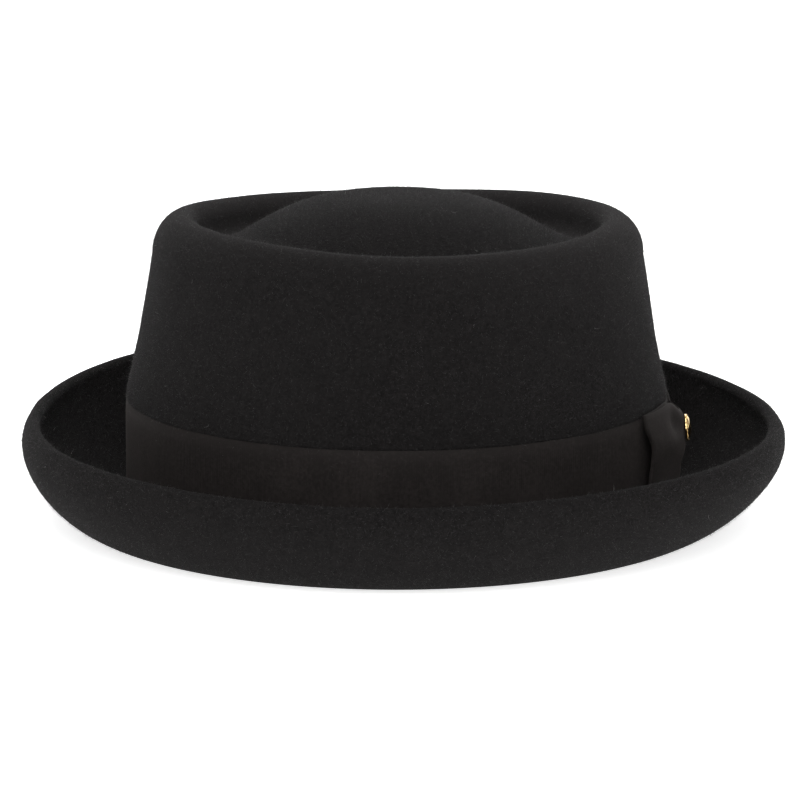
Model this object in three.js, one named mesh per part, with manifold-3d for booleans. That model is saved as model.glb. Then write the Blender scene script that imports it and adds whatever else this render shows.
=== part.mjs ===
// Porkpie hat of black wool felt: a low crown with a rolled rim and a raised oval dome, a brim turned up
// all round, a ribbon band, a flat ribbon bow on the wearer's left and a small domed metal pin on the bow.
//
// Millimetres, +Z up. +X is the wearer's left and -Y is the front. The hat stands on its brim at z = 0,
// with the middle of its overall length and width at the origin.

import * as THREE from 'three';
import { mergeVertices } from 'three/addons/utils/BufferGeometryUtils.js';
import Module from 'manifold-3d';

const wasm = await Module();
wasm.setup();

// Driving dimensions of the felt

const headHalfWidth = 85.5;     // felt crown at the band, outer face, across the head
const headHalfLength = 99.5;    // the same from front to back
const crownFelt = 2.2;          // wall of the crown
const brimFelt = 3.0;           // wall of the brim, whose edge is left raw and rounded
const rimHeight = 97.0;         // table to the top of the rolled rim
const straightHeight = 39.5;    // table to where the crown begins to taper
const crownTaper = 7.55;        // how far the wall leans in between there and the shoulder
const crownLean = 0.65;         // how far the rim stands to the wearer's left of the band
const shoulderWidth = 9.7;      // outer round of the rolled rim
const shoulderHeight = 12.5;
const rollDrop = 5.9;           // inner round of the rim, from its top down to the steep side of the groove
const rollShare = 0.58;         // share of the way from the groove's bottom to the ridge that it takes up

// Driving dimensions of the tip

const moatDepth = 10.8;         // rim to the bottom of the groove inside it
const moatHalfWidth = 61.0;     // oval line along the bottom of the groove
const moatHalfLength = 71.0;
const domeRise = 7.5;           // rim to the top of the dome
const domeFullness = 3.3;       // 2 is a round dome, more is flatter on top with fuller flanks
const domeFoot = 2.0;           // 1 is a sharp crease round the dome, more a softer one
const domeShift = 1.1;          // how far the top of the dome lies towards the wearer's right

// Driving dimensions of the brim

const brimReach = 35.0;         // crown wall to the outer face of the turned up edge
const lipHeight = 32.5;         // table to the under side of the edge
const lipTurn = 114;            // slope of the under side at the edge, in degrees from level
const landStart = 2.5;          // flat ring that the hat rests on, measured from the crown wall
const landEnd = 8.5;
const floorPull = 14.6;         // how long the brim stays close to the table
const edgePull = 10.0;          // how long it follows the slope of its edge
const breakFillet = 2.5;        // soft corner between the crown wall and the top of the brim

// Driving dimensions of the ribbon

const ribbon = 1.0;             // thickness of a ribbon layer
const ribbonWidth = 35.0;
const clearance = 0.3;          // gap between pieces that touch
const bandDip = 0.67;           // how much lower the band lies at the front and back than at the sides

// Driving dimensions of the bow

const bowAngle = -5;            // place of its middle round the crown, in degrees from the side
const bowHalfLength = 40.5;
const bowHeight = 35.8;
const bowStand = 6.2;           // crown wall to the outer face of the loops
const bowPinch = 1.0;           // how far the pin draws the loops in
const pinchHalfLength = 9.0;    // half the length of that dent
const loopLift = 1.6;           // how far the back of a loop lifts off the band at its end
const liftPower = 3;            // how late that lift sets in towards the end

// Driving dimensions of the pin

const pinRadius = 4.6;
const pinPlate = 1.1;           // thickness of the plate under the dome
const pinBevel = 0.35;          // broken edge of the plate
const pinDome = 2.1;            // height of the dome above the plate
const pinShoulder = 0.55;       // flat ring of the plate that shows round the dome
const pinHeight = 30.7;         // table to the middle of the pin
const pinPostRadius = 0.6;

// Sections of the felt round the hat, 45 degrees apart. Each value is a share of the size it is named for:
// reach of brimReach, lip of lipHeight, turn of lipTurn and rim of rimHeight.
const sections = [
  { place: 'left',        reach: 1.086, lip: 1.006, turn: 1.000, rim: 1.011 },
  { place: 'back left',   reach: 0.986, lip: 1.077, turn: 1.000, rim: 0.994 },
  { place: 'back',        reach: 1.023, lip: 1.175, turn: 1.000, rim: 0.970 },
  { place: 'back right',  reach: 1.057, lip: 1.095, turn: 1.000, rim: 0.986 },
  { place: 'right',       reach: 0.957, lip: 0.985, turn: 1.000, rim: 1.019 },
  { place: 'front right', reach: 0.877, lip: 0.898, turn: 0.917, rim: 1.019 },
  { place: 'front',       reach: 0.934, lip: 0.840, turn: 0.833, rim: 0.999 },
  { place: 'front left',  reach: 1.077, lip: 0.938, turn: 0.917, rim: 1.001 },
];

// Levels of the bow from its lower edge to its upper edge: height is a share of bowHeight, front and back are
// shares of bowHalfLength, stand is a share of bowStand, lift of loopLift and pinch of bowPinch.
const bowLevels = [
  { height: 0.00, front: 0.97, back: 1.00, stand: 0.84, lift: 0.55, pinch: 0.0 },
  { height: 0.20, front: 0.99, back: 1.00, stand: 0.89, lift: 0.80, pinch: 0.1 },
  { height: 0.45, front: 1.00, back: 0.97, stand: 0.97, lift: 1.00, pinch: 0.5 },
  { height: 0.60, front: 0.98, back: 0.95, stand: 1.00, lift: 0.95, pinch: 1.0 },
  { height: 0.75, front: 0.97, back: 0.96, stand: 0.99, lift: 0.75, pinch: 1.0 },
  { height: 0.90, front: 1.06, back: 1.02, stand: 0.88, lift: 0.40, pinch: 0.4 },
  { height: 1.00, front: 1.09, back: 1.06, stand: 0.76, lift: 0.20, pinch: 0.1 },
];

// How finely each piece is faceted: round the hat, and along each stretch of a section
const sides = 64;
const outerFacets = { dome: 8, rim: 3, wall: 3 };
const innerFacets = { dome: 6, rim: 3, wall: 2 };
const brimFacets = { corner: 3, curve: 8, edge: 4 };
const bowFacets = { layer: 12, fold: 4 };
const pinFacets = { sides: 20, dome: 5 };

const TURN = 2 * Math.PI;
const radians = THREE.MathUtils.degToRad;
const mix = THREE.MathUtils.lerp;

// Numbers from 0 to 1 in equal steps, both ends included.
const steps = (count) => Array.from({ length: count + 1 }, (_, i) => i / count);

// A smooth value round the hat from one column of the sections.
function around(column, angle) {
  const place = ((angle / TURN) % 1 + 1) % 1 * sections.length;
  const first = Math.floor(place);
  const t = place - first;
  const row = (i) => sections[(first + i + sections.length) % sections.length][column];
  const slope = (i) => (row(i + 1) - row(i - 1)) / 2;
  const t2 = t * t;
  const t3 = t2 * t;
  return (2 * t3 - 3 * t2 + 1) * row(0) + (t3 - 2 * t2 + t) * slope(0)
    + (3 * t2 - 2 * t3) * row(1) + (t3 - t2) * slope(1);
}

// A section of the felt is a list of stations. A station says how wide the oval is there, how long, how high
// it lies and how far its middle is shifted to the side.
const station = (halfWidth, halfLength, z, shift = 0) => ({ halfWidth, halfLength, z, shift });

// A station beside the crown, at a distance out from the crown wall.
const beside = (out, z) => station(headHalfWidth + out, headHalfLength + out, z);

const pointOn = (s, angle) => new THREE.Vector3(
  s.halfWidth * Math.cos(angle) + s.shift,
  s.halfLength * Math.sin(angle),
  s.z,
);

const wallTop = (angle) => rimHeight * around('rim', angle) - shoulderHeight;
const taperAt = (z, angle) => crownTaper * Math.max(z - straightHeight, 0) / (wallTop(angle) - straightHeight);
const leanAt = (z) => crownLean * Math.max(z - straightHeight, 0) / (rimHeight - straightHeight);

// The dome, from its top to the bottom of the moat.
function domeStations(angle, count) {
  const bottom = rimHeight * around('rim', angle) - moatDepth;
  const top = rimHeight + domeRise;
  return steps(count).map((q) => {
    const rise = (1 - q ** domeFullness) ** domeFoot;
    const shift = leanAt(rimHeight) - domeShift * (1 - q);
    return station(moatHalfWidth * q, moatHalfLength * q, mix(bottom, top, rise), shift);
  });
}

// The rolled rim: out of the moat, over the rim and down to the top of the wall.
function rimStations(angle, count) {
  const rim = rimHeight * around('rim', angle);
  const ridge = crownTaper + shoulderWidth;
  const widthAt = (t) => mix(moatHalfWidth, headHalfWidth - ridge, t);
  const lengthAt = (t) => mix(moatHalfLength, headHalfLength - ridge, t);
  const list = [];
  for (const t of steps(count).slice(1)) {
    const a = t * Math.PI / 2;
    const out = (1 - rollShare) * Math.sin(a);
    const z = rim - moatDepth + (moatDepth - rollDrop) * (1 - Math.cos(a));
    list.push(station(widthAt(out), lengthAt(out), z, leanAt(z)));
  }
  for (const t of steps(count).slice(1)) {
    const a = t * Math.PI / 2;
    const out = 1 - rollShare * Math.cos(a);
    const z = rim - rollDrop * (1 - Math.sin(a));
    list.push(station(widthAt(out), lengthAt(out), z, leanAt(z)));
  }
  for (const t of steps(count + 1).slice(1)) {
    const a = t * Math.PI / 2;
    const out = shoulderWidth * Math.sin(a) - ridge;
    const z = rim - shoulderHeight * (1 - Math.cos(a));
    list.push(station(headHalfWidth + out, headHalfLength + out, z, leanAt(z)));
  }
  return list;
}

// The tapered wall, from under the shoulder down to where it stands straight.
function wallStations(angle, count) {
  return steps(count).slice(1).map((t) => {
    const z = mix(wallTop(angle), straightHeight, t);
    const out = -taperAt(z, angle);
    return station(headHalfWidth + out, headHalfLength + out, z, leanAt(z));
  });
}

const crownStations = (angle, facets) => [
  ...domeStations(angle, facets.dome),
  ...rimStations(angle, facets.rim),
  ...wallStations(angle, facets.wall),
];

// The same section moved in by the thickness of the felt, square to its own line.
function inside(list, angle, thickness) {
  const flat = list.map((s) => new THREE.Vector2(
    Math.hypot(s.halfWidth * Math.cos(angle), s.halfLength * Math.sin(angle)),
    s.z,
  ));
  return list.map((s, i) => {
    const along = flat[Math.min(i + 1, flat.length - 1)].clone().sub(flat[Math.max(i - 1, 0)]).normalize();
    const first = i === 0;
    const out = first ? 0 : -along.y * thickness;
    const up = first ? thickness : along.x * thickness;
    return station(s.halfWidth - out, s.halfLength - out, s.z - up, s.shift);
  });
}

// The under side of the brim, outside the land, as points of reach and height with the slope at each.
function brimCurve(angle, count) {
  const reach = brimReach * around('reach', angle);
  const lip = lipHeight * around('lip', angle);
  const turn = radians(lipTurn * around('turn', angle));
  const curve = new THREE.CubicBezierCurve(
    new THREE.Vector2(landEnd, 0),
    new THREE.Vector2(landEnd + floorPull, 0),
    new THREE.Vector2(reach - edgePull * Math.cos(turn), lip - edgePull * Math.sin(turn)),
    new THREE.Vector2(reach, lip),
  );
  return steps(count).map((t) => ({ at: curve.getPoint(t), along: curve.getTangent(t) }));
}

// The brim from the foot of the crown wall: out along its top, round its edge and back along its under side,
// up to the inner face of the crown wall.
function brimStations(angle) {
  const curve = brimCurve(angle, brimFacets.curve);
  const topOf = ({ at, along }, thickness) => beside(at.x - along.y * thickness, at.y + along.x * thickness);
  const list = [];
  for (const t of steps(brimFacets.corner)) {
    const a = t * Math.PI / 2;
    list.push(beside(breakFillet * (1 - Math.cos(a)), brimFelt + breakFillet * (1 - Math.sin(a))));
  }
  for (const p of curve) {
    list.push(topOf(p, brimFelt));
  }
  const edge = curve[curve.length - 1];
  for (const t of steps(brimFacets.edge).slice(1, -1)) {
    const a = t * Math.PI;
    const beyond = brimFelt / 2 * Math.sin(a);
    const level = brimFelt / 2 * (1 + Math.cos(a));
    const tip = { at: edge.at.clone().addScaledVector(edge.along, beyond), along: edge.along };
    list.push(topOf(tip, level));
  }
  for (const p of curve.slice().reverse()) {
    list.push(beside(p.at.x, p.at.y));
  }
  const corner = landStart + crownFelt;
  for (const t of steps(brimFacets.corner)) {
    const a = t * Math.PI / 2;
    list.push(beside(landStart - corner * Math.sin(a), corner * (1 - Math.cos(a))));
  }
  return list;
}

// A closed skin over rings of points. A ring of one point closes an end, and rings with no such end close on
// each other.
function skin(rings) {
  const positions = [];
  const first = rings.map((ring) => {
    const start = positions.length / 3;
    ring.forEach((p) => positions.push(p.x, p.y, p.z));
    return start;
  });
  const looped = rings[0].length > 1;
  const index = [];
  for (let i = 0; i < rings.length - (looped ? 0 : 1); i += 1) {
    const j = (i + 1) % rings.length;
    const count = Math.max(rings[i].length, rings[j].length);
    for (let k = 0; k < count; k += 1) {
      const next = (k + 1) % count;
      const a = first[i] + k % rings[i].length;
      const b = first[i] + next % rings[i].length;
      const c = first[j] + k % rings[j].length;
      const d = first[j] + next % rings[j].length;
      if (a !== b) {
        index.push(a, c, b);
      }
      if (c !== d) {
        index.push(b, c, d);
      }
    }
  }
  const geometry = new THREE.BufferGeometry();
  geometry.setAttribute('position', new THREE.Float32BufferAttribute(positions, 3));
  geometry.setIndex(index);
  return geometry;
}

// Crown and brim, one piece of felt with the head's hollow open below.
function feltBody() {
  const angles = steps(sides).slice(0, -1).map((t) => t * TURN);
  const columns = angles.map((angle) => {
    const outer = crownStations(angle, outerFacets);
    const inner = inside(crownStations(angle, innerFacets), angle, crownFelt).reverse();
    return [...outer, ...brimStations(angle), ...inner];
  });
  const last = columns[0].length - 1;
  const rings = columns[0].map((_, i) => {
    if (i === 0 || i === last) {
      return [pointOn(columns[0][i], 0)];
    }
    return columns.map((column, k) => pointOn(column[i], angles[k]));
  });
  return skin(rings);
}

// The ribbon round the crown, from just above the brim to a little over where the taper begins.
const bandFoot = brimFelt + breakFillet + clearance;
const bandTop = (angle) => bandFoot + ribbonWidth + bandDip * (Math.cos(2 * angle) - 1);

function hatBand() {
  const angles = steps(sides).slice(0, -1).map((t) => t * TURN);
  const columns = angles.map((angle) => {
    const top = bandTop(angle);
    const bend = Math.min(straightHeight, top - ribbon);
    const at = (out, z) => station(
      headHalfWidth + out - taperAt(z, angle),
      headHalfLength + out - taperAt(z, angle),
      z,
      leanAt(z),
    );
    const face = clearance + ribbon;
    return [
      at(face, bandFoot), at(clearance, bandFoot), at(clearance, bend), at(clearance, top),
      at(face, top), at(face, bend),
    ];
  });
  return skin(columns[0].map((_, i) => columns.map((column, k) => pointOn(column[i], angles[k]))));
}

// The bow is one flattened loop of ribbon round the side of the hat. A point on it is given by how far it lies
// along the band from the bow's middle, how far out from the crown wall, and its height.
const bowMiddle = radians(bowAngle);
const bowFoot = bandFoot + clearance;

function besideBow(along, out, z) {
  const angle = bowMiddle + along / (headHalfLength + clearance + ribbon);
  return pointOn(beside(out, z), angle);
}

// One level of the loop as a closed line through the middle of the ribbon, in the bow's own measures: the
// outer layer from front to back, a round fold, the inner layer back to the front, and the front fold.
function bowLine(level) {
  const innerFace = 2 * clearance + 1.5 * ribbon;
  const outerFace = bowStand * level.stand - ribbon / 2;
  const layer = (share, outer) => {
    const along = share * bowHalfLength * (share < 0 ? level.front : level.back);
    const pinch = bowPinch * level.pinch * Math.exp(-((along / pinchHalfLength) ** 2));
    const lift = loopLift * level.lift * Math.abs(share) ** liftPower;
    return new THREE.Vector2(along, outer ? outerFace - pinch : innerFace + lift);
  };
  const foldRadius = (outerFace - innerFace - loopLift * level.lift) / 2;
  const straight = 1 - foldRadius / bowHalfLength;
  const list = [];
  for (const side of [1, -1]) {
    for (const t of steps(bowFacets.layer)) {
      list.push(layer(side * mix(-straight, straight, t), side > 0));
    }
    const from = layer(side * straight, side > 0);
    const to = layer(side * straight, side < 0);
    const centre = from.clone().lerp(to, 0.5);
    for (const t of steps(bowFacets.fold).slice(1, -1)) {
      const a = t * Math.PI;
      const radius = from.distanceTo(to) / 2;
      list.push(new THREE.Vector2(
        centre.x + side * radius * Math.sin(a),
        centre.y + side * radius * Math.cos(a),
      ));
    }
  }
  return list;
}

// A closed line moved out to its left by half a layer, or to its right where the distance is negative.
function besideLine(line, distance) {
  return line.map((p, k) => {
    const before = line[(k + line.length - 1) % line.length];
    const after = line[(k + 1) % line.length];
    const way = after.clone().sub(before).normalize();
    return new THREE.Vector2(p.x - way.y * distance, p.y + way.x * distance);
  });
}

function bowLoop() {
  const ringAt = (level, distance) => besideLine(bowLine(level), distance).map((p) => (
    besideBow(p.x, p.y, bowFoot + bowHeight * level.height)
  ));
  const outer = bowLevels.map((level) => ringAt(level, ribbon / 2));
  const inner = bowLevels.map((level) => ringAt(level, -ribbon / 2)).reverse();
  return skin([...outer, ...inner].reverse());
}

// The pin: a round plate with a domed face on a short post through the ribbon.
function pin() {
  const postLength = ribbon + 3 * clearance;
  const domeRadius = pinRadius - pinShoulder;
  const profile = [
    new THREE.Vector2(0, -postLength),
    new THREE.Vector2(pinPostRadius, -postLength),
    new THREE.Vector2(pinPostRadius, 0),
    new THREE.Vector2(pinRadius, 0),
    new THREE.Vector2(pinRadius, pinPlate - pinBevel),
    new THREE.Vector2(pinRadius - pinBevel, pinPlate),
  ];
  for (const t of steps(pinFacets.dome)) {
    const a = t * Math.PI / 2;
    profile.push(new THREE.Vector2(domeRadius * Math.cos(a), pinPlate + pinDome * Math.sin(a)));
  }
  profile[profile.length - 1].x = 0;
  return new THREE.LatheGeometry(profile, pinFacets.sides);
}

// The same shape with its shared corners joined and nothing kept but their places.
function joined(geometry) {
  const bare = geometry.clone();
  bare.deleteAttribute('normal');
  bare.deleteAttribute('uv');
  return mergeVertices(bare, 1e-4);
}

function solid(geometry) {
  const shape = joined(geometry);
  return new wasm.Manifold(new wasm.Mesh({
    numProp: 3,
    vertProperties: new Float32Array(shape.attributes.position.array),
    triVerts: new Uint32Array(shape.index.array),
  }));
}

function cut(geometry, tool) {
  const mesh = solid(geometry).subtract(solid(tool)).getMesh();
  const result = new THREE.BufferGeometry();
  result.setAttribute('position', new THREE.BufferAttribute(mesh.vertProperties, 3));
  result.setIndex(new THREE.BufferAttribute(mesh.triVerts, 1));
  return result;
}

// One named piece with its own material.
function piece(name, geometry, color, roughness, metalness = 0) {
  const merged = joined(geometry);
  merged.computeVertexNormals();
  const material = new THREE.MeshStandardMaterial({ color, roughness, metalness });
  const mesh = new THREE.Mesh(merged, material);
  mesh.name = name;
  return mesh;
}

// The pin's seat is the middle of the bow's face, and it points straight out of the band there.
const pinSeat = besideBow(0, bowStand - bowPinch + clearance, pinHeight);
const outward = new THREE.Vector3(
  Math.cos(bowMiddle) / headHalfWidth,
  Math.sin(bowMiddle) / headHalfLength,
  0,
).normalize();
const facing = new THREE.Quaternion().setFromUnitVectors(new THREE.Vector3(0, 1, 0), outward);

// A hole for the post through the bow's outer layer only.
function postHole() {
  const depth = 2 * ribbon + clearance;
  const radius = pinPostRadius + clearance;
  const hole = new THREE.CylinderGeometry(radius, radius, depth, pinFacets.sides);
  hole.translate(0, -depth / 2, 0);
  hole.applyQuaternion(facing);
  hole.translate(pinSeat.x, pinSeat.y, pinSeat.z);
  return hole;
}

const felt = piece('felt_body', feltBody(), 0x211f20, 0.98);
const band = piece('hat_band', hatBand(), 0x1d1a19, 0.8);
const bow = piece('bow_loop', cut(bowLoop(), postHole()), 0x1d1a19, 0.8);
const stud = piece('pin', pin(), 0xd9b36a, 0.25, 1);

stud.quaternion.copy(facing);
stud.position.copy(pinSeat);

const hat = new THREE.Group();
hat.add(felt, band, bow, stud);

felt.geometry.computeBoundingBox();
const middle = felt.geometry.boundingBox.getCenter(new THREE.Vector3());
hat.position.set(-middle.x, -middle.y, 0);

export default hat;
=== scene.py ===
# Porkpie hat of black wool felt, with a grosgrain band, a flat side bow and a small domed pin.
#
# Metres, +Z up. +X is the wearer's left and -Y is the front, as in the frame.

import math

import bpy
import numpy as np
from mathutils import Matrix, Vector, noise


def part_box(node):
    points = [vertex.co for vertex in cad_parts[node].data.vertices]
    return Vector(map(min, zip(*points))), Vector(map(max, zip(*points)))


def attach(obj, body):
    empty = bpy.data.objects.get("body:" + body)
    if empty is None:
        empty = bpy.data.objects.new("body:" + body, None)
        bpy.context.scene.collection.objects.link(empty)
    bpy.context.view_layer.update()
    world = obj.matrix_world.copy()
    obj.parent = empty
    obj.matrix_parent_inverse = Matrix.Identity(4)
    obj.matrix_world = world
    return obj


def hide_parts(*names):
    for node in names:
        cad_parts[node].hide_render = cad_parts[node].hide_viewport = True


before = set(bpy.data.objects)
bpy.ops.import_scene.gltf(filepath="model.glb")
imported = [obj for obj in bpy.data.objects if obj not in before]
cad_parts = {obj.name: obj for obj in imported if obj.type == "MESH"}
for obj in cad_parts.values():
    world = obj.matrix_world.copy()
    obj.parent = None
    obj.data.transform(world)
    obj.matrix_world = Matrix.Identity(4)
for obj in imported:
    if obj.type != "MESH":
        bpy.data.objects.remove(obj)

bl_info = {
    "name": "Porkpie hat",
    "version": (1, 0, 0),
    "blender": (4, 5, 0),
    "location": "3D View > Sidebar > Hat",
    "description": "Builds a felt porkpie hat with its ribbon, bow, pin, nap and a plain stage",
    "category": "Add Mesh",
}

MM = 0.001
TURN = 2 * math.pi
HALF_TURN = math.pi
QUARTER = math.pi / 2
THREE_CORNERS = (0, TURN / 3, TURN * 2 / 3)
BODY = "root"
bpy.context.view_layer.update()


def table(columns, *rows):
    """Rows of values with their columns named."""
    return [dict(zip(columns, row)) for row in rows]


# The ribbon's thickness in the frame's solids and its gap to the felt, and sizes that the frame gives

CLEARANCE = 0.3 * MM
RIBBON = 1.0 * MM
band_low, band_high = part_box("hat_band")
felt_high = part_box("felt_body")[1]
HEAD_MIDDLE = (band_low + band_high) / 2
HEAD_HALF = (band_high - band_low) / 2 - Vector((1, 1, 0)) * (RIBBON + CLEARANCE)
RIM_MILLIMETRES = 97.0

# Sections of the felt round the hat, from the wearer's left by the back, 45 degrees apart. Each value is a
# share of a size: reach of the brim's reach, lip and turn of the height and the slope of its edge, pull of
# the length along that slope, and rim of the rim's height.
SECTIONS = table(
    ("reach", "lip", "turn", "pull", "rim"),
    (1.050, 1.000, 1.120, 1.25, 1.011),
    (0.995, 1.026, 0.600, 1.00, 0.994),
    (1.040, 1.175, 0.720, 1.00, 0.970),
    (1.067, 1.064, 0.600, 1.00, 0.986),
    (0.922, 0.980, 1.120, 1.25, 1.019),
    (0.857, 0.898, 1.050, 1.10, 1.019),
    (0.934, 0.840, 0.833, 1.00, 0.999),
    (1.057, 0.938, 1.050, 1.10, 1.001),
)

# Levels of the bow from its lower edge up. Height is a share of the bow's height, front and back of its half
# length, stand and pinch of the sizes with those names, lift of the room between the band and the fold, and
# full of how much less the face leans in beside the pin.
BOW_LEVELS = table(
    ("height", "front", "back", "stand", "lift", "pinch", "full"),
    (0.00, 0.97, 1.00, 0.70, 0.80, 0.0, 0.0),
    (0.20, 0.99, 1.00, 0.77, 0.95, 0.1, 0.0),
    (0.45, 1.00, 0.97, 0.84, 1.00, 0.5, 0.0),
    (0.60, 0.98, 0.95, 0.92, 1.00, 1.0, 0.5),
    (0.75, 0.98, 0.96, 0.88, 0.95, 1.0, 0.8),
    (0.90, 1.03, 1.00, 0.64, 0.95, 0.4, 0.8),
    (1.00, 1.01, 1.00, 0.43, 1.00, 0.1, 0.5),
)

# Soft forms of the bow's face beside the pin, in millimetres. Along is measured back from the bow's middle,
# height from the table, and out is how far the form stands out or, below zero, is pressed in.
BOW_FORMS = table(
    ("along", "height", "half_length", "half_height", "out"),
    (-15.0, 35.0, 7.0, 3.6, -1.7),
    (-5.0, 23.5, 10.0, 3.6, 0.8),
    (-27.0, 31.0, 11.0, 3.0, 0.6),
    (-24.0, 24.0, 12.0, 3.6, -0.4),
    (13.0, 31.0, 7.0, 5.5, -0.5),
)

# Soft lights: their places from the middle of the picture, widths and heights in metres, powers in watts
LIGHTS = table(
    ("name", "place", "width", "height", "power"),
    ("front_low", (0.0, -2.4, 0.33), 2.6, 0.6, 17.0),
    ("front_high", (0.0, -2.2, 1.4), 2.2, 1.0, 31.0),
    ("left_light", (-2.2, -0.3, 0.5), 1.2, 0.7, 0.5),
    ("right_light", (2.2, -0.3, 0.5), 1.2, 0.7, 3.5),
    ("back_low", (0.0, 1.9, 0.6), 2.4, 0.7, 3.0),
    ("back_high", (0.0, 1.7, 1.5), 1.6, 1.2, 7.0),
    ("top_light", (0.0, -0.5, 2.2), 2.0, 1.6, 31.0),
)

# How finely the pieces are meshed
FELT_SIDES = 360
DOME_RINGS = 42
RIM_RINGS = 10
WALL_RINGS = 26
SWELL_RINGS = 12
FOOT_RINGS = 5
BRIM_RINGS = 32
EDGE_RINGS = 12
CORNER_RINGS = 6
INNER_SHARE = 0.4
COLUMNS_PER_RIB = 4
BAND_ROWS = 9
BOW_ROWS = 26
LOOP_POINTS = 120
FOLD_POINTS = 26
PIN_SIDES = 96
BEVEL_POINTS = 6
FACE_POINTS = 22
BEAD_SIDES = 16
BEAD_RINGS = 10

# The felt beside the ribbon's upper edge: how far above it the finer rings begin, and how far below it the
# swell ends. No nap grows below the clear height, nor on the wall this far under the ribbon's edge.
SWELL_REACH = 3.0 * MM
SWELL_END = 0.7 * MM
NAP_CLEAR = 2.5 * MM
NAP_UNDER_RIBBON = 2.0 * MM

# The felt's unevenness grows to its full size over the settled height. A finer noise goes over the first.
SETTLED_HEIGHT = 8.0 * MM
FINER_NOISE = 2.7
FINER_SHARE = 0.4

# Share of the felt's faces that carry nap, least lean of a fibre as a share of its most, and the size of a
# pale fibre as shares of a stray hair's length and thickness
NAP_SHARE = 0.62
LEAST_LEAN = 0.45
LINT_LENGTH = 0.8
LINT_THICKNESS = 1.4

# Gap between the band and the bow's back, as a share of the ribbon's thickness
BOW_GAP = 0.25

# Camera and spacing of the nodes in a tree
SENSOR_WIDTH = 36.0
CLIP_END = 20.0
NODE_SPACING = 190


# Properties

def size(name, millimetres, description):
    """A length that a user may change, with its default given in millimetres."""
    return bpy.props.FloatProperty(
        name=name, description=description, default=millimetres * MM, min=0.0, precision=5, unit="LENGTH")


def share(name, default, description, most=10.0):
    return bpy.props.FloatProperty(name=name, description=description, default=default, min=0.0, max=most)


def angle(name, degrees, description):
    return bpy.props.FloatProperty(
        name=name, description=description, default=math.radians(degrees), unit="ROTATION")


def count(name, default, description):
    return bpy.props.IntProperty(name=name, description=description, default=default, min=0)


def colour(name, default, description):
    return bpy.props.FloatVectorProperty(
        name=name, description=description, default=default, size=3, subtype="COLOR", min=0.0, max=1.0)


class FeltSizes(bpy.types.PropertyGroup):
    """Sizes of the crown and the brim."""
    half_width: size("Half width", HEAD_HALF.x / MM, "Crown at the band, across the head")
    half_length: size("Half length", HEAD_HALF.y / MM, "Crown at the band, from the middle to the front")
    crown_felt: size("Crown felt", 2.2, "Wall of the crown")
    brim_felt: size("Brim felt", 3.0, "Wall of the brim")
    rim_height: size("Rim height", RIM_MILLIMETRES, "Table to the top of the rolled rim")
    straight_height: size("Straight height", 39.5, "Table to where the crown begins to taper")
    crown_taper: size("Crown taper", 7.55, "How far the wall leans in up to the shoulder")
    crown_lean: size("Crown lean", 0.65, "How far the rim stands to the wearer's left of the band")
    shoulder_width: size("Shoulder width", 9.7, "Outer round of the rolled rim")
    shoulder_height: size("Shoulder height", 12.5, "Height of that round")
    roll_drop: size("Roll drop", 5.9, "Inner round of the rim, from its top down")
    roll_share: share("Roll share", 0.58, "Share of the way from groove to ridge that it takes up", 1.0)
    moat_depth: size("Groove depth", 10.8, "Rim to the bottom of the groove inside it")
    moat_half_width: size("Groove half width", 61.0, "Oval along the bottom of the groove")
    moat_half_length: size("Groove half length", 71.0, "The same oval from the middle to the front")
    dome_rise: size("Dome rise", felt_high.z / MM - RIM_MILLIMETRES, "Rim to the top of the dome")
    dome_fullness: share("Dome fullness", 3.3, "2 is a round dome, more has fuller flanks")
    dome_foot: share("Dome foot", 2.0, "1 is a sharp crease round the dome, more a softer one")
    dome_shift: size("Dome shift", 1.1, "How far its top lies towards the wearer's right")
    brim_reach: size("Brim reach", 35.0, "Crown wall to the outer face of the turned up edge")
    lip_height: size("Lip height", 32.2, "Table to the under side of the edge")
    lip_swell: share("Lip swell", 0.45, "How much thicker the raw edge is than the brim")
    lip_turn: angle("Lip turn", 114, "Slope of the under side at the edge")
    land_start: size("Land start", 2.5, "Flat ring that the hat rests on, from the crown wall")
    land_end: size("Land end", 8.5, "Outer end of the flat ring")
    floor_pull: size("Floor pull", 14.6, "How long the brim stays close to the table")
    edge_pull: size("Edge pull", 10.0, "How long it follows the slope of its edge")
    break_fillet: size("Break fillet", 2.5, "Soft corner between the crown wall and the brim")
    swell: size("Swell", 0.85, "How far the felt swells over the tight ribbon")
    swell_height: size("Swell height", 14.0, "How high up the wall that swell reaches")
    unevenness: size("Unevenness", 0.22, "How far the blocked felt strays from its smooth form")
    unevenness_size: size("Unevenness size", 17.0, "Width of those shallow hollows")


class RibbonSizes(bpy.types.PropertyGroup):
    """Sizes of the ribbon round the crown."""
    thickness: size("Thickness", 0.5, "Thickness of the ribbon that shows")
    width: size("Width", 35.0, "Width of the ribbon")
    dip: size("Dip", 0.12, "How much lower the band lies at the front and back than at the sides")
    rib_pitch: size("Rib pitch", 0.8, "Distance between two ribs of the weave")
    rib_height: size("Rib height", 0.07, "How far a rib stands up")


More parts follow.
